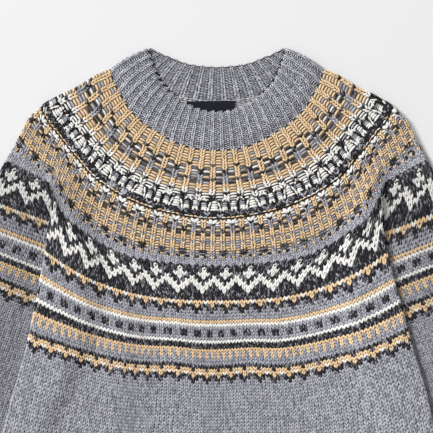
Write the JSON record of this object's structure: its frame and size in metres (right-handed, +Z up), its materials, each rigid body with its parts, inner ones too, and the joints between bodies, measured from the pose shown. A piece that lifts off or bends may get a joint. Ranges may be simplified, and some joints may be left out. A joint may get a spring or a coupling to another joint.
{
  "type": "jacquard sweater laid flat",
  "caption": "Round-yoke knitted sweater lying flat on its back, ribbed neckband, sleeves folded down under the sides of the body, for dressing a table, shelf or floor scene.",
  "frame": {"origin": "middle of the footprint, on the surface it lies on", "axes": "+X across, towards the picture's right; +Y along the body from hem to neck; +Z up from the surface, out of the front"},
  "size_m": [0.8176, 0.6148, 0.015],
  "materials": {
    "grey_rib": "grey melange wool-like yarn, ribbed, matt",
    "yoke_knit": "camel, ecru, charcoal and grey yarns in a ladder-textured yoke, matt",
    "body_knit": "grey melange stockinette with bands in charcoal, ecru and camel, matt",
    "label_weave": "plain dark woven label"
  },
  "bodies": {
    "root": {"neckband": "grey_rib", "yoke": "yoke_knit", "front": "body_knit", "back": "body_knit", "sleeve_left": "body_knit", "sleeve_right": "body_knit", "hem_rib": "grey_rib", "cuff_left": "grey_rib", "cuff_right": "grey_rib", "neck_label": "label_weave"}
  },
  "joints": []
}
